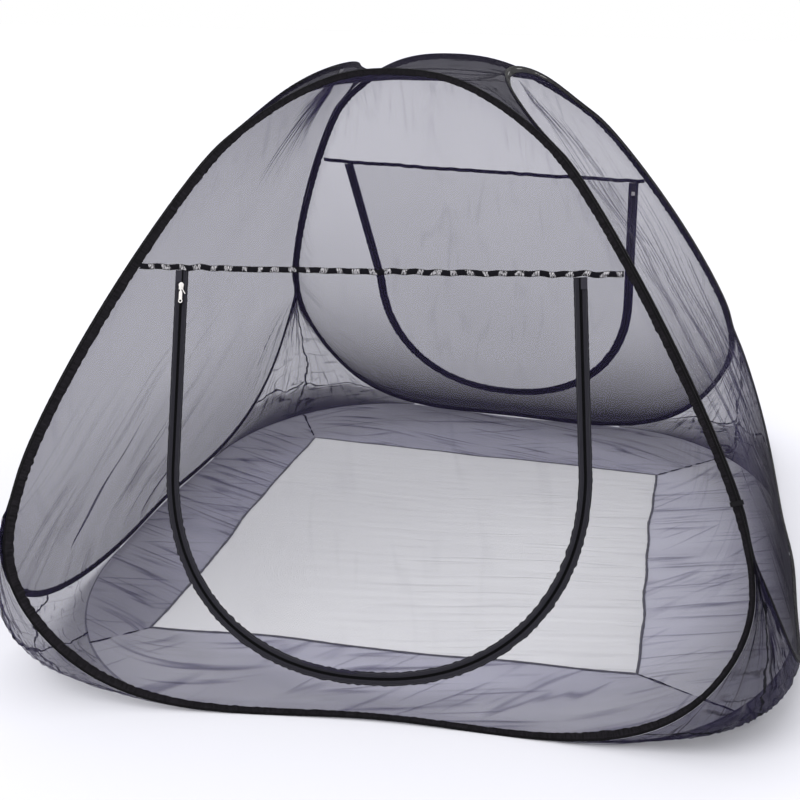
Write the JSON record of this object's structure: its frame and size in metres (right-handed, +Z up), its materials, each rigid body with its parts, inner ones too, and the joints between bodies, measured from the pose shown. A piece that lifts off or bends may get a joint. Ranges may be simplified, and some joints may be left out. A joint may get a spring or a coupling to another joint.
{
  "type": "mosquito net tent",
  "caption": "Free-standing pop-up mosquito net tent for a double bed: sprung wire loops in fabric binding, netting walls, zip doors on both ends and a floor with a plain middle panel.",
  "frame": {"origin": "middle of the floor, at the bottom centre of the bounding box", "axes": "+Z up, the front door faces -Y, +X to the right seen from the front door"},
  "size_m": [2.002, 2.51, 1.4338],
  "materials": {
    "spring_steel": "bare wire and crimp, dull grey",
    "binding_fabric": "black polyester binding, matt",
    "netting": "fine black mesh, see-through",
    "dark_netting": "fine black mesh, seen denser",
    "woven_panel": "plain white woven polyester",
    "zip_tape": "black woven tape",
    "zip_coil": "black nylon coil",
    "zip_metal": "bright plated zinc",
    "ribbon_fabric": "black ribbon with a pale woven pattern"
  },
  "bodies": {
    "front_frame": {"floor_hem": "binding_fabric", "floor_net_back": "netting", "floor_net_front": "netting", "floor_net_left": "netting", "floor_net_right": "netting", "floor_panel": "woven_panel", "front_binding": "binding_fabric", "front_ferrule": "spring_steel", "front_left_end_tab": "zip_tape", "front_ribbon": "ribbon_fabric", "front_right_end_tab": "zip_tape", "front_wall_coil": "zip_coil", "front_wall_net": "netting", "front_wall_tape": "zip_tape", "front_wire": "spring_steel", "gusset_back_left": "netting", "gusset_back_right": "netting", "gusset_front_left": "netting", "gusset_front_right": "netting", "roof_net": "dark_netting", "tie_tab": "binding_fabric"},
    "left_frame": {"left_binding": "binding_fabric", "left_ferrule": "spring_steel", "left_wall_net": "netting", "left_wire": "spring_steel"},
    "right_frame": {"right_binding": "binding_fabric", "right_ferrule": "spring_steel", "right_wall_net": "netting", "right_wire": "spring_steel"},
    "back_frame": {"back_binding": "binding_fabric", "back_ferrule": "spring_steel", "back_left_end_tab": "zip_tape", "back_ribbon": "ribbon_fabric", "back_right_end_tab": "zip_tape", "back_wall_coil": "zip_coil", "back_wall_net": "netting", "back_wall_tape": "zip_tape", "back_wire": "spring_steel"},
    "front_door": {"front_flap_coil": "zip_coil", "front_flap_net": "netting", "front_flap_tape": "zip_tape"},
    "front_slider": {"front_slider": "zip_metal"},
    "front_pull": {"front_pull": "zip_metal"},
    "back_door": {"back_flap_coil": "zip_coil", "back_flap_net": "netting", "back_flap_tape": "zip_tape"},
    "back_slider": {"back_slider": "zip_metal"},
    "back_pull": {"back_pull": "zip_metal"}
  },
  "joints": [
    {"name": "left_fold", "type": "hinge", "parent": "front_frame", "child": "left_frame", "pos_m": [-0.69493, -0.85244, 0.86825], "axis": [-0.3534, -0.5459, -0.7597], "range_deg": [0, 65], "deforming": ["roof_net", "floor_hem", "floor_net_back", "floor_net_front", "floor_net_left", "floor_net_right", "floor_panel", "gusset_back_left", "gusset_back_right", "gusset_front_left", "gusset_front_right"]},
    {"name": "right_fold", "type": "hinge", "parent": "front_frame", "child": "right_frame", "pos_m": [0.55647, -0.80344, 0.90782], "axis": [0.4948, -0.4414, -0.7486], "range_deg": [0, 65]},
    {"name": "back_fold", "type": "hinge", "parent": "right_frame", "child": "back_frame", "pos_m": [0.52571, 0.71574, 0.86779], "axis": [-0.4821, -0.4853, 0.7294], "range_deg": [0, 65]},
    {"name": "front_door_swing", "type": "hinge", "parent": "front_frame", "child": "front_door", "pos_m": [-0.10531, -0.77612, 0.98374], "axis": [-0.9968, -0.0748, -0.0279], "range_deg": [0, 150]},
    {"name": "front_zip_slide", "type": "slide", "parent": "front_door", "child": "front_slider", "axis": [0.0523, -0.3481, -0.936], "range_m": [0, 0.3]},
    {"name": "front_pull_swing", "type": "hinge", "parent": "front_slider", "child": "front_pull", "pos_m": [-0.5743, -0.82908, 0.9317], "axis": [-0.9968, -0.0748, -0.0279], "range_deg": [0, 160]},
    {"name": "back_door_swing", "type": "hinge", "parent": "back_frame", "child": "back_door", "pos_m": [-0.09329, 0.67775, 1.02823], "axis": [0.999, -0.0409, -0.017], "range_deg": [0, 150]},
    {"name": "back_zip_slide", "type": "slide", "parent": "back_door", "child": "back_slider", "axis": [0.0018, 0.4206, -0.9073], "range_m": [0, 0.3]},
    {"name": "back_pull_swing", "type": "hinge", "parent": "back_slider", "child": "back_pull", "pos_m": [0.42628, 0.67707, 0.98199], "axis": [0.999, -0.0409, -0.017], "range_deg": [0, 160]}
  ],
  "couplings": [
    {"joint": "right_fold", "follows": "left_fold", "ratio": 1},
    {"joint": "back_fold", "follows": "left_fold", "ratio": 1}
  ]
}
